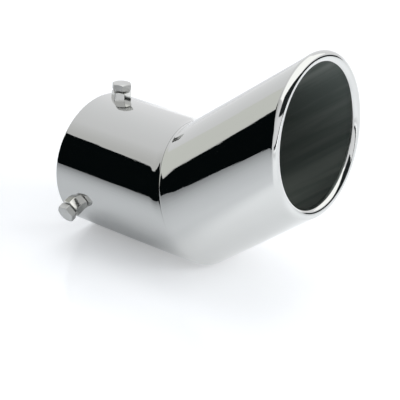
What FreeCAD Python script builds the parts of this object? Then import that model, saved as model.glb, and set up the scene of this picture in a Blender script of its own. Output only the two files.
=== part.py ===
import FreeCAD, Part
import math
import os

from FreeCAD import Vector

# Bolt-on exhaust tip: a straight sleeve slips over the tailpipe and is held by
# three hexagon screws in nuts welded round its inlet end. Its wall is thicker
# over the length that takes the pipe. A second tube turns upwards from it at a
# mitred, polished joint, and ends in a slanted mouth whose edge is rolled
# inwards. Millimetres throughout.
#
# The shapes are built with the sleeve's axis along +X, the centre of the inlet
# mouth at the origin and the bend rising towards +Z. At the end everything is
# turned about the sleeve's axis to the way the tip lies on a flat surface,
# which is on the sleeve and on the head of one screw.

# Tubes
outer_radius = 38.1
wall = 1.2
socket_wall = 1.6
sleeve_length = 78.7
socket_depth = 58.0
outlet_length = 83.45
bend_angle = 36.9
rim_tilt = 3.9
bead_radius = 3.2

# Polished blend at the joint, measured along each tube from the corner
blend_on_sleeve = 5.0
blend_on_outlet = 3.0

# Clamp screws, placed round the sleeve by angle from +Y towards +Z
clamp_from_mouth = 12.0
clamp_angles = [95.0, 212.5, 326.0]
nut_turns = [30.0, 16.0, 0.0]
head_turns = [20.0, 3.0, 30.0]
thread_radius = 3.0
thread_clearance = 0.05
hole_clearance = 0.2
across_flats = 10.0
nut_height = 4.8
head_height = 3.7
head_gap = 0.9
tip_setback = 0.2
tip_chamfer = 0.8
countersink = 0.4
corner_chamfer_angle = 30.0
chamfer_circle_share = 0.95

# Number of stretches in which the bead's oval centre line is made of arcs
bead_stretches = 8

# Room that a cutting body has beyond what it cuts
overrun = 5.0

bore_radius = outer_radius - wall
socket_radius = outer_radius - socket_wall
bead_centre_radius = outer_radius - bead_radius
hex_corner = across_flats / 2 / math.cos(math.radians(30))
chamfer_circle = chamfer_circle_share * across_flats / 2
chamfer_drop = (hex_corner - chamfer_circle) * math.tan(math.radians(corner_chamfer_angle))
nut_top = outer_radius + nut_height
head_seat = nut_top + head_gap
head_top = head_seat + head_height

bend = math.radians(bend_angle)
slant = math.radians(bend_angle - rim_tilt)
whole_reach = sleeve_length + outlet_length + 2 * outer_radius

origin = Vector(0, 0, 0)
along_sleeve = Vector(1, 0, 0)
sideways = Vector(0, 1, 0)
along_outlet = Vector(math.cos(bend), 0, math.sin(bend))
across_outlet = Vector(-math.sin(bend), 0, math.cos(bend))
joint_normal = Vector(math.cos(bend / 2), 0, math.sin(bend / 2))
joint_rise = Vector(-math.sin(bend / 2), 0, math.cos(bend / 2))

corner = along_sleeve * sleeve_length
blend_start = corner - along_sleeve * blend_on_sleeve
blend_end = corner + along_outlet * blend_on_outlet
rim_centre = corner + along_outlet * outlet_length


def resting_lean():
    """Turn about the sleeve at which the last screw's head touches the floor."""
    corner_height = head_top - chamfer_drop
    reach = math.hypot(corner_height, hex_corner)
    from_straight_down = math.atan2(hex_corner, corner_height) + math.acos(outer_radius / reach)
    return clamp_angles[-1] - 270.0 - math.degrees(from_straight_down)


def ahead_of(point, normal):
    """Body that fills the space on the normal's side of a plane."""
    return Part.makeCylinder(whole_reach, whole_reach, point, normal)


def pipe(radius, start, direction, length):
    """Plain round bar, the outside or the bore of a tube."""
    return Part.makeCylinder(radius, length, start, direction)


def tube(inner_radius, start, direction, length):
    """Round tube with the common outer radius."""
    outside = pipe(outer_radius, start, direction, length)
    inside = pipe(inner_radius, start - direction * overrun, direction, length + 2 * overrun)
    return outside.cut(inside)


def joint_oval(radius, centre):
    """Oval in which a plane parallel to the joint cuts a tube."""
    long_half = joint_rise * (radius / math.cos(bend / 2))
    return Part.Ellipse(centre + long_half, centre + sideways * radius, centre)


def blend_body(radius):
    """Oval carried along a curve that rounds the corner, without turning."""
    curve = Part.BezierCurve()
    curve.setPoles([blend_start, corner, blend_end])
    sweep = Part.BRepOffsetAPI.MakePipeShell(Part.Wire([curve.toShape()]))
    sweep.setTrihedronMode(origin, sideways)
    sweep.add(Part.Wire([joint_oval(radius, blend_start).toShape()]), False, False)
    sweep.build()
    sweep.makeSolid()
    return sweep.shape()


def rim_curve(radius):
    """Closed curve at a radius of the outlet, level with the bead's centre line."""
    rise = math.tan(slant) * bead_centre_radius / radius
    high_point = rim_centre + (across_outlet + along_outlet * rise) * radius
    return Part.Ellipse(high_point, rim_centre + sideways * radius, rim_centre)


def behind_rim(inner_radius, depth):
    """Ring-shaped body behind the bead's centre line, seen along the outlet."""
    inner_curve = rim_curve(inner_radius).toShape()
    outer_curve = rim_curve(outer_radius + overrun).toShape()
    return Part.makeRuledSurface(inner_curve, outer_curve).extrude(along_outlet * -depth)


def arc_from(start, tangent, end):
    """Arc that leaves its start along a tangent and passes through its end."""
    chord = end - start
    half_turn = tangent.getAngle(chord)
    side = tangent - chord * (tangent.dot(chord) / chord.dot(chord))
    side.normalize()
    bulge = chord.Length / 2 * math.tan(half_turn / 2)
    middle = start + chord * 0.5 + side * bulge
    return Part.Arc(start, middle, end).toShape()


def smooth_arcs(start, start_tangent, end, end_tangent):
    """Two arcs that join two points, tangent there and where they meet."""
    gap = end - start
    spread = 2 * (1 - start_tangent.dot(end_tangent))
    lead = gap.dot(start_tangent + end_tangent)
    reach = (math.sqrt(lead * lead + spread * gap.dot(gap)) - lead) / spread
    meeting = (start + start_tangent * reach + end - end_tangent * reach) * 0.5
    return [
        arc_from(start, start_tangent, meeting),
        arc_from(end, end_tangent * -1, meeting),
    ]


def bead_centre_line():
    """Centre line of the rolled edge, as arcs that follow its oval."""
    oval = rim_curve(bead_centre_radius)
    arcs = []
    for stretch in range(bead_stretches):
        first = 2 * math.pi * stretch / bead_stretches
        last = 2 * math.pi * (stretch + 1) / bead_stretches
        arcs += smooth_arcs(
            oval.value(first), oval.tangent(first)[0], oval.value(last), oval.tangent(last)[0]
        )
    return Part.Wire(Part.__sortEdges__(arcs))


def bead_ring(path, radius):
    """Round bar bent along the rim."""
    first = path.Edges[0]
    start = first.valueAt(first.FirstParameter)
    heading = first.tangentAt(first.FirstParameter)
    sweep = Part.BRepOffsetAPI.MakePipeShell(path)
    sweep.setFrenetMode(True)
    sweep.add(Part.Wire([Part.Circle(start, heading, radius).toShape()]), False, False)
    sweep.build()
    sweep.makeSolid()
    return sweep.shape()


def rolled_edge():
    """Sheet that turns half a circle inwards round the mouth."""
    path = bead_centre_line()
    full_roll = bead_ring(path, bead_radius).cut(bead_ring(path, bead_radius - wall))
    inside_of_roll = bead_centre_radius - bead_radius - wall
    return full_roll.cut(behind_rim(inside_of_roll, 2 * bead_radius + overrun))


def radial(shape, angle):
    """Shape built on +Z, turned to an angle round the sleeve."""
    shape.rotate(origin, along_sleeve, angle - 90.0)
    shape.translate(along_sleeve * clamp_from_mouth)
    return shape


def hexagon(height, base, turn):
    """Six-sided bar with its upper corners turned off."""
    points = []
    for side in range(7):
        angle = math.radians(turn + 60 * side)
        points.append(Vector(hex_corner * math.cos(angle), hex_corner * math.sin(angle), base))
    bar = Part.Face(Part.makePolygon(points)).extrude(Vector(0, 0, height))
    top = base + height
    lower = top - chamfer_drop
    below = pipe(hex_corner + overrun, Vector(0, 0, base), Vector(0, 0, 1), lower - base)
    cone = Part.makeCone(hex_corner, chamfer_circle, chamfer_drop, Vector(0, 0, lower))
    return bar.common(below.fuse(cone))


def clamp_nut(turn):
    """Nut whose foot is shaped to the sleeve that it is welded to."""
    body = hexagon(nut_height + socket_wall, socket_radius, turn)
    hole = pipe(thread_radius + thread_clearance, origin, Vector(0, 0, 1), nut_top + overrun)
    sink = Part.makeCone(
        thread_radius + thread_clearance,
        thread_radius + thread_clearance + countersink,
        countersink,
        Vector(0, 0, nut_top - countersink),
    )
    sleeve_outside = pipe(
        outer_radius, along_sleeve * -across_flats, along_sleeve, 2 * across_flats
    )
    return body.cut(hole).cut(sink).cut(sleeve_outside)


def clamp_screw(turn):
    """Hexagon screw whose tip stops just short of the sleeve's bore."""
    tip = socket_radius + tip_setback
    shank = pipe(
        thread_radius, Vector(0, 0, tip + tip_chamfer), Vector(0, 0, 1), head_seat - tip - tip_chamfer
    )
    point = Part.makeCone(thread_radius - tip_chamfer, thread_radius, tip_chamfer, Vector(0, 0, tip))
    return hexagon(head_height, head_seat, turn).fuse([shank, point]).removeSplitter()


def inlet_sleeve():
    """Straight tube with its socket, screw holes and half of the blended joint."""
    straight = tube(bore_radius, origin, along_sleeve, whole_reach)
    straight = straight.cut(ahead_of(blend_start, joint_normal))
    blend = blend_body(outer_radius).cut(blend_body(bore_radius))
    socket = tube(socket_radius, origin, along_sleeve, socket_depth)
    body = straight.fuse([blend.cut(ahead_of(corner, joint_normal)), socket]).removeSplitter()
    for angle in clamp_angles:
        hole = pipe(thread_radius + hole_clearance, origin, Vector(0, 0, 1), nut_top)
        body = body.cut(radial(hole, angle))
    return body


def outlet_tube():
    """Slanted tube with its half of the blended joint and the rolled edge."""
    start = corner - along_outlet * outer_radius
    straight = tube(bore_radius, start, along_outlet, whole_reach)
    straight = straight.cut(ahead_of(blend_end, joint_normal * -1))
    straight = straight.common(behind_rim(bore_radius - overrun, whole_reach))
    blend = blend_body(outer_radius).cut(blend_body(bore_radius))
    blend = blend.cut(ahead_of(corner, joint_normal * -1))
    return straight.fuse([blend, rolled_edge()])


def export(name, shape, lean):
    """Turn a finished piece to the resting pose and write it."""
    shape.rotate(origin, along_sleeve, -lean)
    shape.exportStep("parts/" + name + ".step")
    print(name, "volume", round(shape.Volume, 1), "valid", shape.isValid(), "solids", len(shape.Solids))


def main():
    os.makedirs("parts", exist_ok=True)
    lean = resting_lean()
    print("lean in the resting pose", round(lean, 3))
    export("inlet_sleeve", inlet_sleeve(), lean)
    export("outlet_tube", outlet_tube(), lean)
    names = ["top", "near", "far"]
    for name, angle, nut_turn, head_turn in zip(names, clamp_angles, nut_turns, head_turns):
        export("clamp_nut_" + name, radial(clamp_nut(nut_turn), angle), lean)
        export("clamp_screw_" + name, radial(clamp_screw(head_turn), angle), lean)


main()
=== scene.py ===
"""A bolt-on exhaust tip of polished sheet, lying on a pale studio floor.

The tip is one polished shell, a straight clamp sleeve that turns upwards at a
blended elbow and ends in a slanted mouth with a rolled edge, and three
hexagon screws in nuts welded round its inlet end. Sizes are in metres, in the
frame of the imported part.
"""

import logging
import math
from dataclasses import dataclass
from enum import Enum
from functools import partial
from typing import Callable, List, Mapping, Optional, Sequence, Tuple, Union

import bmesh
import bpy
from mathutils import Matrix, Vector


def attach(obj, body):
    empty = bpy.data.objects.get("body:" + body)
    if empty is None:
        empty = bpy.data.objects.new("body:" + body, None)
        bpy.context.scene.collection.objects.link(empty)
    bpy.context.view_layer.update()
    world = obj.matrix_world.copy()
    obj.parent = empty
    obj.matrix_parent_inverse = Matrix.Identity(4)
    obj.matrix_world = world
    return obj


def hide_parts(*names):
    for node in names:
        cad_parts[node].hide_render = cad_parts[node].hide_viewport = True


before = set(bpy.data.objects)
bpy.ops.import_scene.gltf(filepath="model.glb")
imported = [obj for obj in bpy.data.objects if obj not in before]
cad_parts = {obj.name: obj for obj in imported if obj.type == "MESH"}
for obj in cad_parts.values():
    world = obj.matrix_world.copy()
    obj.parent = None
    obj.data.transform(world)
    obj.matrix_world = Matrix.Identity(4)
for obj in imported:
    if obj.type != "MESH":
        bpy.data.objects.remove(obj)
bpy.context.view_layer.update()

LOG = logging.getLogger("exhaust_tip")

X_AXIS = Vector((1.0, 0.0, 0.0))
Y_AXIS = Vector((0.0, 1.0, 0.0))
Z_AXIS = Vector((0.0, 0.0, 1.0))

# How near a corner may lie to a cut before it counts as on it, and how near
# two corners may lie before they are made one
CUT_TOLERANCE = 1e-7
MERGE_DISTANCE = 1e-6

Colour = Tuple[float, float, float, float]
WHITE: Colour = (1.0, 1.0, 1.0, 1.0)


class Slot(Enum):
    """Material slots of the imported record."""

    SHEET = "polished_sheet"
    NUT = "weld_nut"
    SCREW = "clamp_screw"


class Seat(Enum):
    """The three places round the sleeve that carry a clamp screw."""

    TOP = "top"
    NEAR = "near"
    FAR = "far"


def clear_selection() -> None:
    """Leave object mode with nothing selected and nothing active."""
    if bpy.context.object is not None and bpy.context.object.mode != "OBJECT":
        bpy.ops.object.mode_set(mode="OBJECT")
    bpy.ops.object.select_all(action="DESELECT")
    bpy.context.view_layer.objects.active = None


def make_active(piece: bpy.types.Object) -> None:
    """Select one object and nothing else."""
    clear_selection()
    piece.select_set(True)
    bpy.context.view_layer.objects.active = piece


def settle(piece: bpy.types.Object, place: Optional[Matrix] = None) -> None:
    """Put an object's place into its mesh, so that it sits unturned at the origin.

    Args:
        piece: The object to settle.
        place: Where it goes first, or None to leave it where it is.
    """
    make_active(piece)
    if place is not None:
        piece.matrix_world = place @ piece.matrix_world
    bpy.ops.object.transform_apply(location=True, rotation=True, scale=True)


def finish_with(piece: bpy.types.Object, kind: str, **settings: object) -> None:
    """Add a modifier and apply it at once.

    Args:
        piece: The object that is modified.
        kind: The modifier's type, such as BEVEL.
        **settings: The modifier's properties.
    """
    make_active(piece)
    bpy.ops.object.modifier_add(type=kind)
    step = piece.modifiers[-1]
    for name, value in settings.items():
        setattr(step, name, value)
    bpy.ops.object.modifier_apply(modifier=step.name)


def carve(piece: bpy.types.Object, tool: bpy.types.Object, operation: str = "DIFFERENCE") -> None:
    """Combine a piece with a tool body, which is then removed.

    Args:
        piece: The object that is carved.
        tool: The closed body that carves it.
        operation: DIFFERENCE takes the tool away, INTERSECT keeps what is in it, UNION adds it.
    """
    finish_with(piece, "BOOLEAN", operation=operation, solver="EXACT", object=tool)
    bpy.data.objects.remove(tool, do_unlink=True)


def bevel_edges(piece: bpy.types.Object, width: float, degrees: float) -> None:
    """Round the edges at which two faces turn by more than an angle."""
    limit = math.radians(degrees)
    finish_with(piece, "BEVEL", width=width, segments=3, limit_method="ANGLE", angle_limit=limit)


def smooth(piece: bpy.types.Object, degrees: float) -> None:
    """Shade a piece smooth up to an angle between faces."""
    make_active(piece)
    bpy.ops.object.shade_smooth_by_angle(angle=math.radians(degrees))


def upright_bar(
    radius: float, bottom: float, top: float, corners: int, top_radius: Optional[float] = None
) -> bpy.types.Object:
    """Make a bar or a cone that stands on the Z axis, with one corner towards +X.

    Args:
        radius: Radius at the bottom.
        bottom: Height of the lower end.
        top: Height of the upper end.
        corners: Number of corners round it.
        top_radius: Radius at the top, or None where it is the same.

    Returns:
        The new object, settled at the origin.
    """
    clear_selection()
    bpy.ops.mesh.primitive_cone_add(
        vertices=corners,
        radius1=radius,
        radius2=radius if top_radius is None else top_radius,
        depth=top - bottom,
        location=(0.0, 0.0, (top + bottom) / 2),
        rotation=(0.0, 0.0, math.radians(-90.0)),
    )
    bar = bpy.context.object
    settle(bar)
    return bar


class GrowingTube:
    """A tube that grows in edit mode from a ring of edges."""

    def __init__(self, name: str, radius: float, corners: int) -> None:
        """Start with an open ring round the X axis, at the origin.

        Args:
            name: Name of the object.
            radius: Radius of the ring.
            corners: Number of corners round it.
        """
        clear_selection()
        bpy.ops.mesh.primitive_circle_add(
            vertices=corners, radius=radius, fill_type="NOTHING", rotation=(0.0, math.pi / 2, 0.0)
        )
        self.piece: bpy.types.Object = bpy.context.object
        self.piece.name = name
        self.corners = corners
        settle(self.piece)
        bpy.ops.object.mode_set(mode="EDIT")
        bpy.ops.mesh.select_mode(type="EDGE")
        bpy.ops.mesh.select_all(action="SELECT")

    def grow(self, step: Vector) -> None:
        """Extrude the selected ring by a step."""
        bpy.ops.mesh.extrude_edges_move(TRANSFORM_OT_translate={"value": tuple(step)})

    def trim(self, point: Vector, normal: Vector) -> None:
        """Cut off all that is past a plane and select the ring that is left there.

        Args:
            point: A point of the plane.
            normal: The plane's normal, towards the side that goes.

        Raises:
            RuntimeError: The ring has too few or too many edges.
        """
        bpy.ops.mesh.select_all(action="SELECT")
        bpy.ops.mesh.bisect(plane_co=point, plane_no=normal, clear_outer=True, threshold=CUT_TOLERANCE)
        self._select_edges(lambda place: abs((place - point).dot(normal)) < MERGE_DISTANCE)
        mesh = bmesh.from_edit_mesh(self.piece.data)
        if sum(edge.select for edge in mesh.edges) != self.corners:
            raise RuntimeError("the trimmed ring is not whole")

    def _select_edges(self, test: Callable[[Vector], bool]) -> None:
        """Select the edges of which both ends pass a test.

        Args:
            test: Says of a place whether it passes.
        """
        mesh = bmesh.from_edit_mesh(self.piece.data)
        for edge in mesh.edges:
            edge.select_set(all(test(corner.co) for corner in edge.verts))
        bmesh.update_edit_mesh(self.piece.data)

    def mark_ring(self, layer_name: str, value: Callable[[Vector], float]) -> None:
        """Note a number on each corner of the selected ring, which its extrusions keep.

        Args:
            layer_name: Name under which the numbers are kept.
            value: Gives the number for a corner's place.
        """
        mesh = bmesh.from_edit_mesh(self.piece.data)
        layer = mesh.verts.layers.float.new(layer_name)
        for corner in mesh.verts:
            if corner.select:
                corner[layer] = value(corner.co)
        bmesh.update_edit_mesh(self.piece.data)

    def grow_to(self, layer_name: str, place: Callable[[float], Vector]) -> None:
        """Extrude the selected ring and lay its corners by the number noted on each.

        Args:
            layer_name: Name under which the numbers are kept.
            place: Gives a corner's new place for its number.
        """
        self.grow(Vector((0.0, 0.0, 0.0)))
        mesh = bmesh.from_edit_mesh(self.piece.data)
        layer = mesh.verts.layers.float[layer_name]
        for corner in mesh.verts:
            if corner.select:
                corner.co = place(corner[layer])
        bmesh.update_edit_mesh(self.piece.data)

    def close(self) -> bpy.types.Object:
        """Leave edit mode and return the object."""
        bpy.ops.object.mode_set(mode="OBJECT")
        return self.piece


@dataclass(frozen=True)
class TubeSizes:
    """Sizes of the two tubes, before they are turned to the way they lie."""

    outer_radius: float = 0.0381
    wall: float = 0.0012
    socket_wall: float = 0.0016
    socket_depth: float = 0.058
    sleeve_length: float = 0.0787
    outlet_length: float = 0.08345
    bend_degrees: float = 36.9
    rim_tilt_degrees: float = 3.9
    bead_radius: float = 0.0032
    blend_on_sleeve: float = 0.005
    blend_on_outlet: float = 0.003

    @property
    def bend(self) -> float:
        """Angle between the two tubes, in radians."""
        return math.radians(self.bend_degrees)

    @property
    def slant(self) -> float:
        """Angle between the mouth and a square cut, in radians."""
        return math.radians(self.bend_degrees - self.rim_tilt_degrees)

    @property
    def along_outlet(self) -> Vector:
        """Direction of the outlet."""
        return Vector((math.cos(self.bend), 0.0, math.sin(self.bend)))

    @property
    def across_outlet(self) -> Vector:
        """Direction across the outlet, towards its top."""
        return Vector((-math.sin(self.bend), 0.0, math.cos(self.bend)))

    @property
    def joint_normal(self) -> Vector:
        """Normal of the plane in which the two tubes meet."""
        return Vector((math.cos(self.bend / 2), 0.0, math.sin(self.bend / 2)))

    @property
    def corner(self) -> Vector:
        """Point where the two axes cross."""
        return X_AXIS * self.sleeve_length

    @property
    def rim_centre(self) -> Vector:
        """Centre of the mouth."""
        return self.corner + self.along_outlet * self.outlet_length


@dataclass(frozen=True)
class WeldSeam:
    """Shallow groove that polishing leaves along the weld of the two tubes.

    A fine crease lies on the joint, with a wide shoulder on each side of it. The
    groove fades out underneath, and its shoulders are narrower and flatter on
    top. Heights run from -1 underneath to 1 on top.
    """

    crease_depth: float = 0.00009
    crease_width: float = 0.0008
    shoulder_depth: float = 0.00036
    shoulder_on_sleeve: float = 0.0068
    shoulder_on_side: float = 0.012
    shoulder_on_top: float = 0.0064
    fades_from: float = -0.45
    fades_over: float = 0.55
    narrows_from: float = 0.35
    narrows_over: float = 0.45
    flattens_from: float = 0.42
    flattens_over: float = 0.3
    flattening: float = 0.85

    def depth(self, gap: float, rise: float) -> float:
        """Depth of the groove at a point.

        Args:
            gap: Distance from the joint, negative on the sleeve.
            rise: Height on the joint, from -1 underneath to 1 on top.

        Returns:
            The depth in metres.
        """
        if gap < 0.0:
            share = self._eased(1.0 + gap / self.shoulder_on_sleeve)
        else:
            narrowing = self._eased((rise - self.narrows_from) / self.narrows_over)
            width = self.shoulder_on_side + (self.shoulder_on_top - self.shoulder_on_side) * narrowing
            share = max(1.0 - gap / width, 0.0) ** 2
        crease = self.crease_depth * max(1.0 - abs(gap) / self.crease_width, 0.0) ** 1.5
        fading = self._eased((rise - self.fades_from) / self.fades_over)
        on_top = self._eased((rise - self.flattens_from) / self.flattens_over)
        shoulder = self.shoulder_depth * share * (1.0 - self.flattening * on_top)
        return (shoulder + crease) * fading

    @staticmethod
    def _eased(share: float) -> float:
        """Soft step from 0 to 1."""
        inside = min(max(share, 0.0), 1.0)
        return inside * inside * (3.0 - 2.0 * inside)


@dataclass(frozen=True)
class ClampSizes:
    """Sizes of the clamp nuts and screws, and their places round the sleeve."""

    from_mouth: float = 0.012
    across_flats: float = 0.010
    thread_radius: float = 0.003
    thread_pitch: float = 0.001
    thread_depth: float = 0.0005
    thread_clearance: float = 0.00005
    hole_clearance: float = 0.0002
    nut_height: float = 0.0048
    head_height: float = 0.0037
    head_gap: float = 0.0009
    tip_setback: float = 0.0002
    tip_chamfer: float = 0.0008
    countersink: float = 0.0004
    chamfer_share: float = 0.95
    chamfer_degrees: float = 30.0
    edge_bevel: float = 0.00022
    cone_corners: int = 96
    cone_overrun: float = 0.001

    @property
    def hex_corner(self) -> float:
        """Radius to the corners of the hexagon."""
        return self.across_flats / 2 / math.cos(math.radians(30.0))

    @property
    def chamfer_circle(self) -> float:
        """Radius of the flat round top that the chamfer leaves."""
        return self.chamfer_share * self.across_flats / 2

    @property
    def chamfer_drop(self) -> float:
        """Height of the chamfer at the corners."""
        return (self.hex_corner - self.chamfer_circle) * math.tan(math.radians(self.chamfer_degrees))

    def angle(self, seat: Seat) -> float:
        """Place round the sleeve, in degrees from +Y towards +Z."""
        return {Seat.TOP: 95.0, Seat.NEAR: 212.5, Seat.FAR: 326.0}[seat]

    def nut_turn(self, seat: Seat) -> float:
        """Turn of the nut about its own axis, in degrees."""
        return {Seat.TOP: 30.0, Seat.NEAR: 16.0, Seat.FAR: 0.0}[seat]

    def head_turn(self, seat: Seat) -> float:
        """Turn of the screw's head about its own axis, in degrees."""
        return {Seat.TOP: 20.0, Seat.NEAR: 3.0, Seat.FAR: 30.0}[seat]

    def seat_matrix(self, seat: Seat, lean: float = 0.0) -> Matrix:
        """Matrix that carries a piece made on +Z to its seat on a sleeve that leans by some degrees."""
        turn = Matrix.Rotation(math.radians(self.angle(seat) - 90.0 - lean), 4, "X")
        return Matrix.Translation(X_AXIS * self.from_mouth) @ turn


@dataclass(frozen=True)
class Resting:
    """The way the tip lies: on its sleeve and on the far screw's head."""

    tubes: TubeSizes
    clamps: ClampSizes

    @property
    def lean(self) -> float:
        """Turn about the sleeve's axis.

        Returns:
            The turn in degrees.
        """
        top = self.tubes.outer_radius + self.clamps.nut_height + self.clamps.head_gap
        height = top + self.clamps.head_height - self.clamps.chamfer_drop
        corner = self.clamps.hex_corner
        reach = math.hypot(height, corner)
        from_down = math.atan2(corner, height) + math.acos(self.tubes.outer_radius / reach)
        return self.clamps.angle(Seat.FAR) - 270.0 - math.degrees(from_down)

    def turned(self) -> Matrix:
        """Matrix that turns the tip to the way it lies."""
        return Matrix.Rotation(math.radians(-self.lean), 4, "X")


Number = Union[float, "Value"]
Stops = Sequence[Tuple[float, Colour]]
Settings = Mapping[str, object]
Inputs = Mapping[Union[int, str], object]


class Value:
    """A shader socket that Python's operators combine through Math nodes."""

    def __init__(self, sheet: "ShaderSheet", socket: bpy.types.NodeSocket) -> None:
        """Wrap an output socket of a node."""
        self.sheet = sheet
        self.socket = socket

    def _with(self, operation: str, first: Number, second: Number = 0.0) -> "Value":
        """Add one Math node."""
        return self.sheet.value("ShaderNodeMath", 0, {"operation": operation}, {0: first, 1: second})

    def __add__(self, other: Number) -> "Value":
        """Sum."""
        return self._with("ADD", self, other)

    __radd__ = __add__

    def __sub__(self, other: Number) -> "Value":
        """Difference."""
        return self._with("SUBTRACT", self, other)

    def __rsub__(self, other: Number) -> "Value":
        """Difference, the other way round."""
        return self._with("SUBTRACT", other, self)

    def __mul__(self, other: Number) -> "Value":
        """Product."""
        return self._with("MULTIPLY", self, other)

    __rmul__ = __mul__

    def at_most(self, other: Number) -> "Value":
        """The smaller of two values."""
        return self._with("MINIMUM", self, other)

    def step(self, low: float, high: float) -> "Value":
        """Smooth step from 0 at one value to 1 at another."""
        settings = {"interpolation_type": "SMOOTHSTEP", "clamp": True}
        ends = {"From Min": low, "From Max": high, "To Min": 0.0, "To Max": 1.0}
        return self.sheet.value("ShaderNodeMapRange", "Result", settings, {"Value": self, **ends})


class ShaderSheet:
    """A node tree that is filled in by short calls."""

    def __init__(self, tree: bpy.types.NodeTree) -> None:
        """Take a node tree and empty it."""
        self.tree = tree
        self.tree.nodes.clear()

    def node(
        self, kind: str, settings: Optional[Settings] = None, inputs: Optional[Inputs] = None
    ) -> bpy.types.Node:
        """Add a node, set it and feed its sockets.

        Args:
            kind: The node's type.
            settings: Its properties, and "stops" for a colour ramp.
            inputs: Values or links of its sockets, by name or number.

        Returns:
            The new node.
        """
        node = self.tree.nodes.new(kind)
        for name, value in (settings or {}).items():
            if name == "stops":
                self._set_stops(node.color_ramp, value)
            else:
                setattr(node, name, value)
        for name, value in (inputs or {}).items():
            if isinstance(value, Value):
                self.tree.links.new(value.socket, node.inputs[name])
            elif isinstance(value, bpy.types.NodeSocket):
                self.tree.links.new(value, node.inputs[name])
            else:
                node.inputs[name].default_value = value
        return node

    def value(
        self,
        kind: str,
        output: Union[int, str],
        settings: Optional[Settings] = None,
        inputs: Optional[Inputs] = None,
    ) -> Value:
        """Add a node and wrap one of its outputs."""
        return Value(self, self.node(kind, settings, inputs).outputs[output])

    def position(self) -> bpy.types.NodeSocket:
        """Position in the object's own coordinates."""
        return self.node("ShaderNodeTexCoord").outputs["Object"]

    def along(self, place: bpy.types.NodeSocket, direction: Vector) -> Value:
        """Measure a position along a direction."""
        inputs = {0: place, 1: tuple(direction)}
        return self.value("ShaderNodeVectorMath", "Value", {"operation": "DOT_PRODUCT"}, inputs)

    def turned_back(
        self,
        place: bpy.types.NodeSocket,
        turn: Tuple[float, float, float],
        centre: Tuple[float, float, float] = (0.0, 0.0, 0.0),
        stretch: float = 1.0,
    ) -> bpy.types.NodeSocket:
        """Turn a position back and measure it from a centre.

        Args:
            place: The position.
            turn: Turn about X, Y and Z that is undone, in degrees.
            centre: Point from which it is measured.
            stretch: How many times longer a pattern becomes along X.

        Returns:
            The new position.
        """
        radians = tuple(math.radians(angle) for angle in turn)
        inputs = {"Vector": place, "Rotation": radians, "Location": centre, "Scale": (stretch, 1.0, 1.0)}
        return self.node("ShaderNodeMapping", {"vector_type": "TEXTURE"}, inputs).outputs[0]

    def noise(
        self, place: bpy.types.NodeSocket, scale: float, detail: float, roughness: float = 0.5
    ) -> Value:
        """Make noise over a position."""
        inputs = {"Vector": place, "Scale": scale, "Detail": detail, "Roughness": roughness}
        return self.value("ShaderNodeTexNoise", "Fac", inputs=inputs)

    def ramp(self, share: Value, stops: Stops) -> bpy.types.NodeSocket:
        """Pick a colour from a row of them."""
        return self.node("ShaderNodeValToRGB", {"stops": stops}, {"Fac": share}).outputs["Color"]

    def bump(self, height: Value, distance: float, strength: float = 1.0) -> bpy.types.NodeSocket:
        """Make the surface uneven."""
        inputs = {"Strength": strength, "Distance": distance, "Height": height}
        return self.node("ShaderNodeBump", inputs=inputs).outputs["Normal"]

    def metal(
        self,
        colour: bpy.types.NodeSocket,
        roughness: Value,
        normal: bpy.types.NodeSocket,
        metallic: float = 1.0,
    ) -> None:
        """Make a metal surface and lead it to the output."""
        inputs = {"Base Color": colour, "Metallic": metallic, "Roughness": roughness, "Normal": normal}
        self.show(self.node("ShaderNodeBsdfPrincipled", inputs=inputs))

    def show(self, surface: bpy.types.Node, kind: str = "ShaderNodeOutputMaterial") -> None:
        """Lead a finished surface to the output."""
        self.node(kind, inputs={"Surface": surface.outputs[0]})

    @staticmethod
    def _set_stops(ramp: bpy.types.ColorRamp, stops: Stops) -> None:
        """Give a ramp its stops.

        Args:
            ramp: The node's colour ramp.
            stops: Places from 0 to 1 and their colours, in order.
        """
        while len(ramp.elements) > 1:
            ramp.elements.remove(ramp.elements[-1])
        ramp.elements[0].position, ramp.elements[0].color = stops[0]
        for place, colour in stops[1:]:
            ramp.elements.new(place).color = colour


def new_material(name: str) -> Tuple[bpy.types.Material, ShaderSheet]:
    """Make an empty material.

    Args:
        name: The material's name.

    Returns:
        The material and the sheet that fills in its nodes.
    """
    material = bpy.data.materials.new(name)
    material.use_nodes = True
    return material, ShaderSheet(material.node_tree)


def darker(colour: Colour, share: float) -> Colour:
    """Darken a colour by a share from 0 to 1."""
    red, green, blue = (part * (1.0 - share) for part in colour[:3])
    return (red, green, blue, 1.0)


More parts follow.
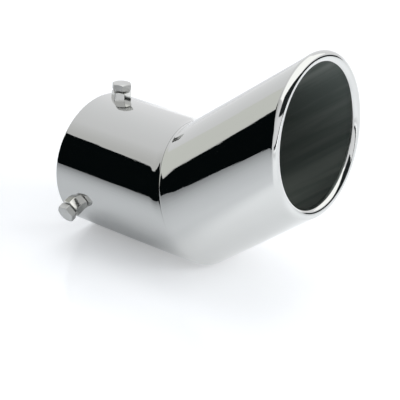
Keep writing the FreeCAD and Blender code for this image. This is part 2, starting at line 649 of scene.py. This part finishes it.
@dataclass(frozen=True)
class PolishedSheet:
    """Mirror-polished sheet with faint haze and the slow waves of hand polishing."""

    joint_at: float
    pitch_degrees: float
    lean_degrees: float
    name: str = "polished_sheet"
    colour: Colour = (0.615, 0.622, 0.612, 1.0)
    roughness: float = 0.02
    smear_haze: float = 0.03
    speck_haze: float = 0.02
    wave_height: float = 0.00003
    grain_height: float = 0.0000035
    grain_stretch: float = 25.0
    # a thin, hazier weld line on the joint, whose darker colour is also painted shade in the crease
    weld_width: float = 0.00032
    weld_dulling_and_painted_shade: float = 0.45
    weld_haze: float = 0.12
    weld_ends_at: float = -0.017
    weld_whole_at: float = 0.004
    grain_turns_within: float = 0.0001

    def build(self) -> bpy.types.Material:
        """Make the material.

        Returns:
            The finished material.
        """
        material, sheet = new_material(self.name)
        place = sheet.position()
        level = sheet.turned_back(place, (-self.lean_degrees, 0.0, 0.0), (self.joint_at, 0.0, 0.0))
        half = math.radians(self.pitch_degrees / 2)
        gap = sheet.along(level, Vector((math.cos(half), 0.0, math.sin(half))))
        height = sheet.along(level, Vector((-math.sin(half), 0.0, math.cos(half))))
        near_weld = 1.0 - (gap * gap).step(0.0, self.weld_width**2)
        weld = near_weld * height.step(self.weld_ends_at, self.weld_whole_at)
        lines = self._grain(sheet, level, gap) * (self.grain_height / self.wave_height)
        waves = sheet.noise(place, 38.0, 1.0)
        smears = sheet.noise(place, 45.0, 4.0, 0.6).step(0.45, 0.8)
        specks = sheet.noise(place, 900.0, 2.0).step(0.62, 0.8)
        haze = smears * self.smear_haze + specks * self.speck_haze + self.roughness
        # darkened colour along the joint: a duller weld and painted crease shade
        dulled_and_painted_shade = darker(self.colour, self.weld_dulling_and_painted_shade)
        colour = sheet.node("ShaderNodeMix", {"data_type": "RGBA"}, {0: weld, 6: self.colour, 7: dulled_and_painted_shade})
        normal = sheet.bump(waves + lines, self.wave_height)
        sheet.metal(colour.outputs[2], haze + weld * self.weld_haze, normal)
        return material

    def _grain(self, sheet: ShaderSheet, level: bpy.types.NodeSocket, gap: Value) -> Value:
        """Make the fine lines that polishing leaves along each tube.

        Args:
            sheet: The material's sheet.
            level: Position on the tip, turned level.
            gap: Distance from the joint, negative on the sleeve.

        Returns:
            How far each point is raised, from 0 to 1.
        """
        on_outlet = gap.step(-self.grain_turns_within, self.grain_turns_within)
        height = 0.0
        for pitch, share in ((0.0, 1.0 - on_outlet), (self.pitch_degrees, on_outlet)):
            along = sheet.turned_back(level, (0.0, -pitch, 0.0), stretch=self.grain_stretch)
            height = sheet.noise(along, 900.0, 4.0) * share + height
        return height.step(0.3, 0.7)


@dataclass(frozen=True)
class DrawnInside:
    """The tube's unpolished inside, with dull streaks drawn along the tube."""

    pitch_degrees: float
    lean_degrees: float
    name: str = "drawn_inside"
    pale: Colour = (0.26, 0.285, 0.265, 1.0)
    dark: Colour = (0.15, 0.174, 0.162, 1.0)
    metallic: float = 0.6
    least_roughness: float = 0.4
    added_roughness: float = 0.2
    streak_share: float = 0.45
    streak_height: float = 0.00002
    streak_stretch: float = 20.0

    def build(self) -> bpy.types.Material:
        """Make the material.

        Returns:
            The finished material.
        """
        material, sheet = new_material(self.name)
        level = sheet.turned_back(sheet.position(), (-self.lean_degrees, 0.0, 0.0))
        along = sheet.turned_back(level, (0.0, -self.pitch_degrees, 0.0), stretch=self.streak_stretch)
        streaks = sheet.noise(along, 260.0, 5.0)
        bands = sheet.noise(along, 70.0, 2.0)
        tone = streaks * self.streak_share + bands * (1.0 - self.streak_share)
        colour = sheet.ramp(tone, [(0.4, self.dark), (0.6, self.pale)])
        roughness = tone * self.added_roughness + self.least_roughness
        sheet.metal(colour, roughness, sheet.bump(streaks, self.streak_height, 0.4), self.metallic)
        return material


@dataclass(frozen=True)
class BrightHardware:
    """Bright plated steel of the nuts and screws, finely turned and handled."""

    name: str
    colour: Colour
    roughness: float = 0.08
    grime: float = 0.08
    stain_haze: float = 0.04
    grain_haze: float = 0.03
    grain_height: float = 0.000004

    def build(self) -> bpy.types.Material:
        """Make the material.

        Returns:
            The finished material.
        """
        material, sheet = new_material(self.name)
        place = sheet.position()
        grain = sheet.noise(place, 2200.0, 3.0)
        stain = sheet.noise(place, 160.0, 3.0)
        colour = sheet.ramp(stain, [(0.35, darker(self.colour, self.grime)), (0.6, self.colour)])
        roughness = stain * self.stain_haze + grain * self.grain_haze + self.roughness
        sheet.metal(colour, roughness, sheet.bump(grain, self.grain_height, 0.15))
        return material


@dataclass
class PolishedShell:
    """Sleeve, elbow, outlet and rolled edge in one skin of sheet.

    Only the outside is drawn, from the inlet to the end of the roll, and the
    sheet is then thickened inwards. The slanted rings begin at shoulder_lead
    before the blend, and crowding gathers the elbow's rings at the joint. A tube
    grows by overrun past the plane that trims it.
    """

    tubes: TubeSizes
    clamps: ClampSizes
    resting: Resting
    polish: PolishedSheet
    inside: DrawnInside
    seam: WeldSeam
    shoulder_lead: float = 0.0022
    lead_steps: int = 4
    wall_change: float = 0.0004
    edge_bevel: float = 0.00016
    overrun: float = 0.05
    corners: int = 256
    hole_corners: int = 48
    blend_steps: int = 14
    crowding: float = 1.8
    roll_steps: int = 28
    crease_degrees: float = 38.0

    RIM_LAYER = "turn_round_rim"

    def build(self) -> bpy.types.Object:
        """Model, dress and place the shell.

        Returns:
            The finished shell, riding on the tip's body.
        """
        tube = GrowingTube("polished_shell", self.tubes.outer_radius, self.corners)
        self._draw_sleeve(tube)
        self._round_elbow(tube)
        self._draw_outlet(tube)
        self._roll_edge(tube)
        shell = tube.close()
        self._face_outwards(shell)
        self._press_seam(shell)
        self._thicken(shell)
        self._drill(shell)
        smooth(shell, self.crease_degrees)
        settle(shell, self.resting.turned())
        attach(shell, "tip")
        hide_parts("inlet_sleeve", "outlet_tube")
        return shell

    def _draw_sleeve(self, tube: GrowingTube) -> None:
        """Extrude the sleeve to the slanted plane where the blend starts.

        Args:
            tube: The tube, with its first ring selected.
        """
        at_mouth, round_holes, past_holes = [0.001, 0.004], [0.001] * 14, [0.013] * 2
        steps = at_mouth + round_holes + past_holes
        steps += [self.tubes.socket_depth - sum(steps), self.wall_change, self.overrun]
        for step in steps:
            tube.grow(X_AXIS * step)
        start = self.tubes.corner - X_AXIS * (self.tubes.blend_on_sleeve + self.shoulder_lead)
        tube.trim(start, self.tubes.joint_normal)
        for _ in range(self.lead_steps):
            tube.grow(X_AXIS * (self.shoulder_lead / self.lead_steps))

    def _round_elbow(self, tube: GrowingTube) -> None:
        """Carry the slanted ring round the corner along a curve, without turning it.

        Args:
            tube: The tube, with the slanted ring selected.
        """
        start = self.tubes.corner - X_AXIS * self.tubes.blend_on_sleeve
        end = self.tubes.corner + self.tubes.along_outlet * self.tubes.blend_on_outlet
        behind = self.tubes.blend_on_sleeve * math.cos(self.tubes.bend / 2)
        ahead = self.tubes.blend_on_outlet * math.cos(self.tubes.bend / 2)
        steps = [number / self.blend_steps for number in range(1, self.blend_steps + 1)]
        gaps = [-behind * (1.0 - step) ** self.crowding for step in steps]
        gaps += [ahead * step**self.crowding for step in steps]
        before = start
        for gap in gaps:
            reach = behind * behind + (ahead - behind) * (behind + gap)
            share = (math.sqrt(reach) - behind) / (ahead - behind)
            middle = self.tubes.corner * (2 * share * (1 - share))
            place = start * (1 - share) ** 2 + middle + end * share**2
            tube.grow(place - before)
            before = place

    def _draw_outlet(self, tube: GrowingTube) -> None:
        """Extrude the outlet and cut it on a slant where the roll begins.

        Args:
            tube: The tube, with the last ring of the elbow selected.
        """
        over_shoulder, past_shoulder = [0.0009] * 12, [0.008] * 4
        for step in over_shoulder + past_shoulder + [self.tubes.outlet_length]:
            tube.grow(self.tubes.along_outlet * step)
        flatter = math.tan(self.tubes.slant) * self._roll_centre_radius / self.tubes.outer_radius
        normal = (self.tubes.along_outlet - self.tubes.across_outlet * flatter).normalized()
        tube.trim(self.tubes.rim_centre, normal)

    def _roll_edge(self, tube: GrowingTube) -> None:
        """Turn the sheet's edge inwards round the mouth by half a circle.

        Args:
            tube: The tube, with the slanted ring of the mouth selected.
        """
        tube.mark_ring(self.RIM_LAYER, self._turn_round_rim)
        for number in range(1, self.roll_steps + 1):
            turn = math.pi * number / self.roll_steps
            tube.grow_to(self.RIM_LAYER, partial(self._roll_point, turn))

    @property
    def _roll_centre_radius(self) -> float:
        """Radius, round the outlet, of the roll's centre line."""
        return self.tubes.outer_radius - self.tubes.bead_radius

    def _turn_round_rim(self, place: Vector) -> float:
        """Angle of a point round the outlet, from its top."""
        reach = place - self.tubes.corner
        return math.atan2(reach.y, reach.dot(self.tubes.across_outlet))

    def _roll_point(self, turn: float, round_rim: float) -> Vector:
        """Point of the rolled edge.

        Args:
            turn: How far the sheet has turned there, from 0 to half a circle.
            round_rim: Angle round the outlet, from its top.

        Returns:
            The point on the outside of the sheet.
        """
        cosine, sine = math.cos(round_rim), math.sin(round_rim)
        outwards = self.tubes.across_outlet * cosine + Y_AXIS * sine
        sideways = Y_AXIS * cosine - self.tubes.across_outlet * sine
        rise = math.tan(self.tubes.slant)
        from_centre = outwards + self.tubes.along_outlet * (rise * cosine)
        centre = self.tubes.rim_centre + from_centre * self._roll_centre_radius
        forward = (self.tubes.along_outlet + sideways * (rise * sine)).normalized()
        return centre + (outwards * math.cos(turn) + forward * math.sin(turn)) * self.tubes.bead_radius

    def _face_outwards(self, shell: bpy.types.Object) -> None:
        """Merge doubles and turn every face outwards.

        Args:
            shell: The tip's outside, before it is turned.
        """
        make_active(shell)
        bpy.ops.object.mode_set(mode="EDIT")
        bpy.ops.mesh.select_all(action="SELECT")
        bpy.ops.mesh.remove_doubles(threshold=MERGE_DISTANCE)
        bpy.ops.mesh.normals_make_consistent(inside=False)
        mesh = bmesh.from_edit_mesh(shell.data)
        first = min(mesh.faces, key=lambda face: face.calc_center_median().x)
        centre = first.calc_center_median()
        if first.normal.dot(Vector((0.0, centre.y, centre.z))) < 0.0:
            bpy.ops.mesh.flip_normals()
        bpy.ops.object.mode_set(mode="OBJECT")
        shell.data.attributes.remove(shell.data.attributes[self.RIM_LAYER])

    def _press_seam(self, shell: bpy.types.Object) -> None:
        """Sink the polished weld a little along the joint, and not at all underneath.

        Args:
            shell: The tip's outside, before it is turned.
        """
        rise = Vector((-math.sin(self.tubes.bend / 2), 0.0, math.cos(self.tubes.bend / 2)))
        for corner in shell.data.vertices:
            reach = corner.co - self.tubes.corner
            gap = reach.dot(self.tubes.joint_normal)
            outwards = rise * reach.dot(rise) + Y_AXIS * reach.y
            depth = self.seam.depth(gap, reach.dot(rise) / self.tubes.outer_radius)
            corner.co -= outwards.normalized() * depth

    def _thicken(self, shell: bpy.types.Object) -> None:
        """Give the sheet its thickness inwards, more over the socket than elsewhere.

        Args:
            shell: The tip's outside, before it is turned.
        """
        shell.data.materials.append(self.polish.build())
        shell.data.materials.append(self.inside.build())
        group = shell.vertex_groups.new(name="sheet_thickness")
        thin = self.tubes.wall / self.tubes.socket_wall
        for corner in shell.data.vertices:
            in_socket = corner.co.x < self.tubes.socket_depth + self.wall_change / 2
            group.add([corner.index], 1.0 if in_socket else thin, "REPLACE")
        finish_with(
            shell,
            "SOLIDIFY",
            thickness=self.tubes.socket_wall,
            offset=-1.0,
            use_even_offset=True,
            use_quality_normals=True,
            vertex_group="sheet_thickness",
            material_offset=1,
            material_offset_rim=0,
        )
        shell.vertex_groups.clear()
        bevel_edges(shell, self.edge_bevel, 60.0)

    def _drill(self, shell: bpy.types.Object) -> None:
        """Make the holes for the clamp screws.

        Args:
            shell: The shell with its wall, before it is turned.
        """
        radius = self.clamps.thread_radius + self.clamps.hole_clearance
        bottom, top = self.tubes.outer_radius * 0.8, self.tubes.outer_radius * 1.1
        for seat in Seat:
            drill = upright_bar(radius, bottom, top, self.hole_corners)
            settle(drill, self.clamps.seat_matrix(seat))
            carve(shell, drill)


def hexagon_block(clamps: ClampSizes, bottom: float, top: float) -> bpy.types.Object:
    """Make a hexagonal bar whose upper corners are turned off.

    Args:
        clamps: Sizes of the hexagon.
        bottom: Height of its foot.
        top: Height of its top.

    Returns:
        The new object, on the Z axis.
    """
    block = upright_bar(clamps.hex_corner, bottom, top, 6)
    bevel_edges(block, clamps.edge_bevel, 50.0)
    slope = math.tan(math.radians(clamps.chamfer_degrees))
    low = bottom - clamps.cone_overrun
    low_radius = clamps.chamfer_circle + (top - low) / slope
    cone = upright_bar(low_radius, low, top, clamps.cone_corners, clamps.chamfer_circle)
    carve(block, cone, "INTERSECT")
    return block


def copy_of(pattern: bpy.types.Object, name: str, turn: float) -> bpy.types.Object:
    """Copy a piece with a mesh of its own and turn the copy about the Z axis.

    Args:
        pattern: The piece that is copied.
        name: Name of the copy.
        turn: Turn in degrees.

    Returns:
        The copy.
    """
    make_active(pattern)
    bpy.ops.object.duplicate(linked=False)
    copy = bpy.context.object
    copy.name = name
    settle(copy, Matrix.Rotation(math.radians(turn), 4, "Z"))
    return copy


@dataclass
class ClampNuts:
    """Three hexagon nuts whose feet are shaped to the sleeve that they are welded to."""

    tubes: TubeSizes
    clamps: ClampSizes
    resting: Resting
    finish: BrightHardware
    hole_corners: int = 64
    foot_corners: int = 512
    crease_degrees: float = 25.0

    def build(self) -> List[bpy.types.Object]:
        """Model one nut, and dress and place its copies.

        Returns:
            The finished nuts, riding on the tip's body.
        """
        pattern = self._plain_nut()
        pattern.data.materials.append(self.finish.build())
        nuts = []
        for seat in Seat:
            nut = copy_of(pattern, "weld_nut_" + seat.value, self.clamps.nut_turn(seat))
            self._shape_foot(nut)
            smooth(nut, self.crease_degrees)
            settle(nut, self.clamps.seat_matrix(seat, self.resting.lean))
            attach(nut, "tip")
            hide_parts("clamp_nut_" + seat.value)
            nuts.append(nut)
        bpy.data.objects.remove(pattern, do_unlink=True)
        return nuts

    def _plain_nut(self) -> bpy.types.Object:
        """Make a bored and countersunk nut with a flat foot.

        Returns:
            The nut, on the Z axis at its height above the sleeve's axis.
        """
        outer = self.tubes.outer_radius
        top = outer + self.clamps.nut_height
        nut = hexagon_block(self.clamps, outer - self.tubes.socket_wall, top)
        hole = self.clamps.thread_radius + self.clamps.thread_clearance
        carve(nut, upright_bar(hole, outer * 0.8, top + 0.002, self.hole_corners))
        sink = self.clamps.countersink
        low, high = top - 2 * sink, top + sink
        carve(nut, upright_bar(hole - sink, low, high, self.hole_corners, hole + 2 * sink))
        return nut

    def _shape_foot(self, nut: bpy.types.Object) -> None:
        """Cut the foot to the round of the sleeve.

        Args:
            nut: The nut, on the Z axis.
        """
        width = 2 * self.clamps.across_flats
        round_bar = upright_bar(self.tubes.outer_radius, -width, width, self.foot_corners)
        settle(round_bar, Matrix.Rotation(math.pi / 2, 4, "Y"))
        carve(nut, round_bar)


@dataclass
class ClampScrews:
    """Three hexagon-headed screws with a cut thread and a chamfered tip."""

    tubes: TubeSizes
    clamps: ClampSizes
    resting: Resting
    finish: BrightHardware
    thread_corners: int = 48
    tip_corners: int = 64
    crease_degrees: float = 25.0
    overrun: float = 0.001

    def build(self) -> List[bpy.types.Object]:
        """Model one screw, and dress and place its copies.

        Returns:
            The finished screws, each riding on its own body.
        """
        pattern = self._plain_screw()
        pattern.data.materials.append(self.finish.build())
        smooth(pattern, self.crease_degrees)
        screws = []
        for seat in Seat:
            screw = copy_of(pattern, "hex_screw_" + seat.value, self.clamps.head_turn(seat))
            settle(screw, self.clamps.seat_matrix(seat, self.resting.lean))
            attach(screw, "screw_" + seat.value)
            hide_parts("clamp_screw_" + seat.value)
            screws.append(screw)
        bpy.data.objects.remove(pattern, do_unlink=True)
        return screws

    def _plain_screw(self) -> bpy.types.Object:
        """Make the screw.

        Returns:
            The screw, on the Z axis at its height above the sleeve's axis.
        """
        seat_height = self.tubes.outer_radius + self.clamps.nut_height + self.clamps.head_gap
        tip = self.tubes.outer_radius - self.tubes.socket_wall + self.clamps.tip_setback
        screw = hexagon_block(self.clamps, seat_height, seat_height + self.clamps.head_height)
        into_head = self.overrun / 2
        carve(screw, self._threaded_shank(tip, seat_height + into_head), "UNION")
        return screw

    def _threaded_shank(self, tip: float, top: float) -> bpy.types.Object:
        """Make the shank with its thread and the chamfer round its tip.

        Args:
            tip: Height of its lower end.
            top: Height of its upper end.

        Returns:
            The closed shank, on the Z axis.
        """
        pitch = self.clamps.thread_pitch
        shank = self._thread_outline(tip - 1.5 * pitch)
        finish_with(
            shank,
            "SCREW",
            angle=2 * math.pi,
            screw_offset=pitch,
            iterations=math.ceil((top - tip) / pitch) + 3,
            steps=self.thread_corners,
            render_steps=self.thread_corners,
            use_merge_vertices=True,
            merge_threshold=MERGE_DISTANCE,
            use_smooth_shade=False,
        )
        self._close_ends(shank, tip, top)
        tip_radius = self.clamps.thread_radius - self.clamps.tip_chamfer
        past_top = top + self.overrun
        wide_radius = tip_radius + (past_top - tip)
        carve(shank, upright_bar(tip_radius, tip, past_top, self.tip_corners, wide_radius), "INTERSECT")
        return shank

    def _thread_outline(self, base: float) -> bpy.types.Object:
        """Draw the outline of one turn of the thread, beside the Z axis.

        Args:
            base: Height of its lower end.

        Returns:
            An object that has only the outline's edges.
        """
        clear_selection()
        bpy.ops.mesh.primitive_plane_add(size=self.clamps.thread_pitch)
        outline = bpy.context.object
        bpy.ops.object.mode_set(mode="EDIT")
        bpy.ops.mesh.delete(type="VERT")
        crest = self.clamps.thread_radius
        root = crest - self.clamps.thread_depth
        profile = [(root, 0.0), (root, 0.15), (crest, 0.45), (crest, 0.6), (root, 0.9), (root, 1.0)]
        mesh = bmesh.from_edit_mesh(outline.data)
        corners = []
        for radius, share in profile:
            place = Vector((radius, 0.0, base + share * self.clamps.thread_pitch))
            corners.append(mesh.verts.new(place))
        for first, second in zip(corners, corners[1:]):
            mesh.edges.new((first, second))
        bmesh.update_edit_mesh(outline.data)
        bpy.ops.object.mode_set(mode="OBJECT")
        return outline

    def _close_ends(self, shank: bpy.types.Object, tip: float, top: float) -> None:
        """Cut the thread square at both ends and close it there.

        Args:
            shank: The open thread.
            tip: Height of its lower end.
            top: Height of its upper end.
        """
        make_active(shank)
        bpy.ops.object.mode_set(mode="EDIT")
        for height, normal in ((tip, -Z_AXIS), (top, Z_AXIS)):
            bpy.ops.mesh.select_all(action="SELECT")
            bpy.ops.mesh.bisect(
                plane_co=(0.0, 0.0, height),
                plane_no=tuple(normal),
                clear_outer=True,
                use_fill=True,
                threshold=CUT_TOLERANCE,
            )
        bpy.ops.mesh.select_all(action="SELECT")
        bpy.ops.mesh.remove_doubles(threshold=MERGE_DISTANCE)
        bpy.ops.mesh.normals_make_consistent(inside=False)
        bpy.ops.object.mode_set(mode="OBJECT")


@dataclass(frozen=True)
class Card:
    """A flat studio card that only the polished metal sees."""

    name: str
    centre: Tuple[float, float, float]
    azimuth: float
    elevation: float
    roll: float
    width: float
    height: float
    colour: Colour

    def build(self) -> bpy.types.Object:
        """Stand the card in the studio, facing the way its angles say.

        Returns:
            The card, which glows evenly and casts no shadow.
        """
        clear_selection()
        turn = Matrix.Rotation(math.radians(self.azimuth), 3, "Z")
        tip_up = Matrix.Rotation(math.radians(90.0 - self.elevation), 3, "X")
        roll = Matrix.Rotation(math.radians(self.roll), 3, "Z")
        placed = (turn @ tip_up @ roll).to_euler()
        bpy.ops.mesh.primitive_plane_add(size=1.0, location=self.centre, rotation=placed)
        card = bpy.context.object
        card.name = self.name
        card.scale = (self.width, self.height, 1.0)
        settle(card)
        material, sheet = new_material(self.name)
        sheet.show(sheet.node("ShaderNodeEmission", inputs={"Color": self.colour, "Strength": 1.0}))
        card.data.materials.append(material)
        card.visible_camera = False
        card.visible_diffuse = False
        card.visible_shadow = False
        return card


@dataclass(frozen=True)
class Studio:
    """Pale floor, plain soft light, the cards round the tip and the camera."""

    floor_height: float
    floor_colour: Colour = (0.87, 0.88, 0.9, 1.0)
    floor_lift: float = 0.255
    # painted glow and painted shade that only the metal sees in the floor; the shade rises from
    # shade_from to shade_whole_at towards the black card
    painted_mirror_glow: float = 0.075
    painted_card_shade: float = 0.26
    shade_from: float = -0.055
    shade_whole_at: float = -0.018
    black_azimuth: float = -50.0
    room_light: Colour = (0.94, 0.97, 1.0, 1.0)
    room_strength: float = 0.62
    room_stops: Tuple[Tuple[float, Colour], ...] = (
        (0.1, (1.0, 1.0, 1.02, 1.0)),
        (0.4, (0.92, 0.925, 0.94, 1.0)),
        (0.76, (0.84, 0.84, 0.85, 1.0)),
        (0.92, (0.67, 0.67, 0.66, 1.0)),
    )
    dim_side: Tuple[float, float, float] = (-0.683, -0.683, 0.259)
    lamp_target: Tuple[float, float, float] = (0.07, 0.0, 0.0)
    camera_place: Tuple[float, float, float] = (0.570357, -0.553599, 0.367518)
    camera_target: Tuple[float, float, float] = (0.081256, -0.00775, -0.000244)
    camera_roll_degrees: float = -1.79
    camera_lens: float = 134.95

    def build(self) -> None:
        """Set up the whole studio."""
        scene = bpy.context.scene
        scene.view_settings.view_transform = "Standard"
        self._floor()
        self._world(scene)
        self._lamp("back_lamp", (-0.2, 0.4, 1.1), 0.9, 3.6)
        self._lamp("side_lamp", (1.1, 0.3, 0.4), 0.8, 8.7)
        for card in self._cards():
            card.build()
        self._camera(scene)

    def _floor(self) -> None:
        """Lay the pale, slightly glossy floor.

        The metal sees it a little brighter than the camera does, through a painted glow in the floor's
        emission. Towards the black card a painted shade makes the metal see the floor darker.
        """
        clear_selection()
        bpy.ops.mesh.primitive_plane_add(size=6.0, location=(0.0, 0.0, self.floor_height))
        floor = bpy.context.object
        floor.name = "floor"
        settle(floor)
        material, sheet = new_material("pale_floor")
        paper = sheet.node(
            "ShaderNodeBsdfPrincipled",
            inputs={"Base Color": self.floor_colour, "Roughness": 0.1, "Specular IOR Level": 0.4},
        )
        towards_card, _ = self._facing(self.black_azimuth, 0.0)
        reach = sheet.along(sheet.position(), towards_card)
        # painted shade on the floor towards the black card, seen only in the metal
        painted_shade_near_card = reach.step(self.shade_from, self.shade_whole_at)
        glossy = sheet.value("ShaderNodeLightPath", "Is Glossy Ray")
        # painted glow for glossy rays, less the painted shade near the black card
        mirrored = glossy * (self.painted_mirror_glow - painted_shade_near_card * self.painted_card_shade)
        lift = sheet.node(
            "ShaderNodeEmission", inputs={"Color": WHITE, "Strength": mirrored + self.floor_lift}
        )
        sheet.show(sheet.node("ShaderNodeAddShader", inputs={0: paper.outputs[0], 1: lift.outputs[0]}))
        floor.data.materials.append(material)

    def _world(self, scene: bpy.types.Scene) -> None:
        """Light the room: white for the camera, pale walls for the metal, plain light for the rest.

        Args:
            scene: The scene that gets the world.
        """
        world = bpy.data.worlds.new("studio")
        world.use_nodes = True
        scene.world = world
        sheet = ShaderSheet(world.node_tree)
        rays = sheet.node("ShaderNodeLightPath")
        glossy = Value(sheet, rays.outputs["Is Glossy Ray"])
        mirrored = (glossy + Value(sheet, rays.outputs["Is Transmission Ray"])).at_most(1.0)
        towards_dim_side = sheet.along(sheet.position(), Vector(self.dim_side))
        wall_colour = sheet.ramp(towards_dim_side, self.room_stops)
        plain = self._background(sheet, self.room_light, self.room_strength)
        walls = self._background(sheet, wall_colour, 1.0)
        white = self._background(sheet, WHITE, 1.0)
        room = sheet.node("ShaderNodeMixShader", inputs={0: mirrored, 1: plain, 2: walls})
        behind = sheet.node(
            "ShaderNodeMixShader",
            inputs={0: rays.outputs["Is Camera Ray"], 1: room.outputs[0], 2: white},
        )
        sheet.show(behind, "ShaderNodeOutputWorld")

    @staticmethod
    def _background(
        sheet: ShaderSheet, colour: Union[Colour, bpy.types.NodeSocket], strength: float
    ) -> bpy.types.NodeSocket:
        """Fill the world with light of one strength."""
        inputs = {"Color": colour, "Strength": strength}
        return sheet.node("ShaderNodeBackground", inputs=inputs).outputs[0]

    def _lamp(self, name: str, place: Tuple[float, float, float], size: float, watts: float) -> None:
        """Hang a large soft lamp that points at the tip.

        Args:
            name: The lamp's name.
            place: Where it hangs.
            size: Width and height of its square.
            watts: Its power.
        """
        clear_selection()
        bpy.ops.object.light_add(type="AREA", location=place)
        lamp = bpy.context.object
        lamp.name = name
        lamp.data.shape = "SQUARE"
        lamp.data.size = size
        lamp.data.energy = watts
        aim = Vector(self.lamp_target) - lamp.location
        lamp.rotation_euler = aim.to_track_quat("-Z", "Y").to_euler()
        lamp.visible_glossy = False

    def _cards(self) -> List[Card]:
        """List the cards that the polished metal reflects.

        After a card's name come its azimuth, elevation and roll in degrees, then a
        hung card's distance, and last its width, height and colour.

        Returns:
            The cards, the black one first, which stands on the floor beside the camera.
        """
        dark, black = (0.022, 0.026, 0.027, 1.0), (0.002, 0.0035, 0.0038, 1.0)
        warm, bright = (0.8, 0.81, 0.765, 1.0), (1.5, 1.5, 1.48, 1.0)
        soft = (1.02, 1.02, 1.02, 1.0)
        left, right, height, distance = -0.13, 1.6, 0.61, 0.8
        out, sideways = self._facing(self.black_azimuth, 0.0)
        centre = out * distance + sideways * ((left + right) / 2)
        centre += Z_AXIS * (self.floor_height + height / 2)
        return [
            Card("black_card", tuple(centre), self.black_azimuth, 0.0, 0.0, right - left, height, black),
            self._hung("warm_card", -77.0, 13.0, 0.0, 1.0, 0.53, 0.52, warm),
            self._hung("side_card", 82.0, 28.0, -27.0, 0.9, 1.0, 0.38, dark),
            self._hung("back_card", 128.0, 4.0, -18.0, 0.95, 0.9, 0.38, dark),
            Card("low_card", (0.837, -0.146, 0.013), 80.0, 0.0, 0.0, 1.2, 0.055, dark),
            self._hung("light_card", 125.0, 48.0, 0.0, 1.4, 1.7, 1.2, bright),
            Card("top_card", (0.35, 0.0, 1.0), 0.0, 90.0, 0.0, 1.5, 1.6, bright),
            Card("ceiling_card", (-0.54, 0.0, 1.0), 0.0, 90.0, 0.0, 0.27, 1.6, soft),
        ]

    @staticmethod
    def _facing(azimuth: float, elevation: float) -> Tuple[Vector, Vector]:
        """Directions from the tip outwards and to the right, seen from the tip.

        Args:
            azimuth: Angle in degrees from -Y towards +X.
            elevation: Angle in degrees above the floor.

        Returns:
            The direction outwards and the level direction to its right.
        """
        turn, rise = math.radians(azimuth), math.radians(elevation)
        level = Vector((math.sin(turn), -math.cos(turn), 0.0))
        right = Vector((math.cos(turn), math.sin(turn), 0.0))
        return level * math.cos(rise) + Z_AXIS * math.sin(rise), right

    def _hung(
        self,
        name: str,
        azimuth: float,
        elevation: float,
        roll: float,
        distance: float,
        width: float,
        height: float,
        colour: Colour,
    ) -> Card:
        """Hang a card square to the line from the tip."""
        out, _ = self._facing(azimuth, elevation)
        return Card(name, tuple(out * distance), azimuth, elevation, roll, width, height, colour)

    def _camera(self, scene: bpy.types.Scene) -> None:
        """Place the camera at the photograph's angle.

        Args:
            scene: The scene that gets the camera.
        """
        clear_selection()
        bpy.ops.object.camera_add(location=self.camera_place)
        camera = bpy.context.object
        camera.name = "camera"
        aim = Vector(self.camera_target) - Vector(self.camera_place)
        level = aim.to_track_quat("-Z", "Y").to_matrix()
        roll = Matrix.Rotation(math.radians(self.camera_roll_degrees), 3, "Z")
        camera.rotation_euler = (level @ roll).to_euler()
        camera.data.sensor_width = 36.0
        camera.data.lens = self.camera_lens
        camera.data.clip_start = 0.01
        camera.data.clip_end = 20.0
        scene.camera = camera


def main() -> None:
    """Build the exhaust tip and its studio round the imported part."""
    logging.basicConfig(level=logging.INFO, format="%(name)s: %(message)s")
    tubes, clamps = TubeSizes(), ClampSizes()
    resting = Resting(tubes, clamps)
    polish = PolishedSheet(tubes.sleeve_length, tubes.bend_degrees, resting.lean)
    inside = DrawnInside(tubes.bend_degrees, resting.lean)
    shell = PolishedShell(tubes, clamps, resting, polish, inside, WeldSeam()).build()
    nut_finish = BrightHardware("weld_nut", (0.62, 0.62, 0.6, 1.0))
    screw_finish = BrightHardware("clamp_screw", (0.61, 0.615, 0.605, 1.0), roughness=0.43)
    nuts = ClampNuts(tubes, clamps, resting, nut_finish).build()
    screws = ClampScrews(tubes, clamps, resting, screw_finish).build()
    for piece in [shell] + nuts + screws:
        LOG.info("%s: %d faces", piece.name, len(piece.data.polygons))
    Studio(floor_height=-tubes.outer_radius).build()


if __name__ == "__main__":
    main()
